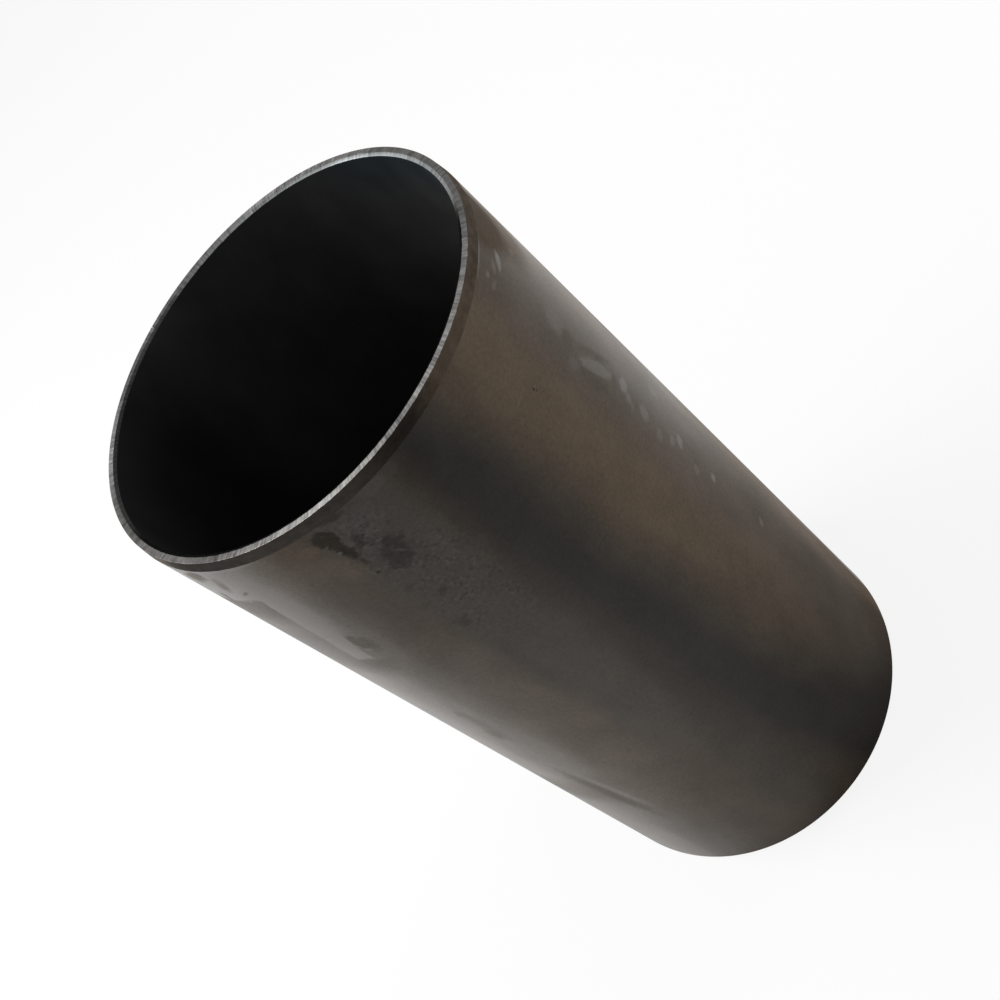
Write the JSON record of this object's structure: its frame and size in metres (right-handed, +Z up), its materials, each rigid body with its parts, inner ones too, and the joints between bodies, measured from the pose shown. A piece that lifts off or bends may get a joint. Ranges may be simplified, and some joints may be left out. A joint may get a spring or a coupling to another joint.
{
  "type": "cylinder liner",
  "caption": "Plain thin-walled dry cylinder liner for an engine block, dark coated iron, with an outer lead-in taper and an inner ring chamfer at the upper end.",
  "frame": {"origin": "centre of the plain end's face, on which the liner stands", "axes": "+Z up the bore axis, from the plain end to the lead-in end; the liner is round about Z, and the pictured side faces -Y"},
  "size_m": [0.1054, 0.1054, 0.208],
  "materials": {
    "coated_iron": "dark brown-grey phosphate coat, oiled, satin, with water marks and a few pits; end face machined bright with radial marks"
  },
  "bodies": {
    "root": {"cylinder_liner": "coated_iron"}
  },
  "joints": []
}
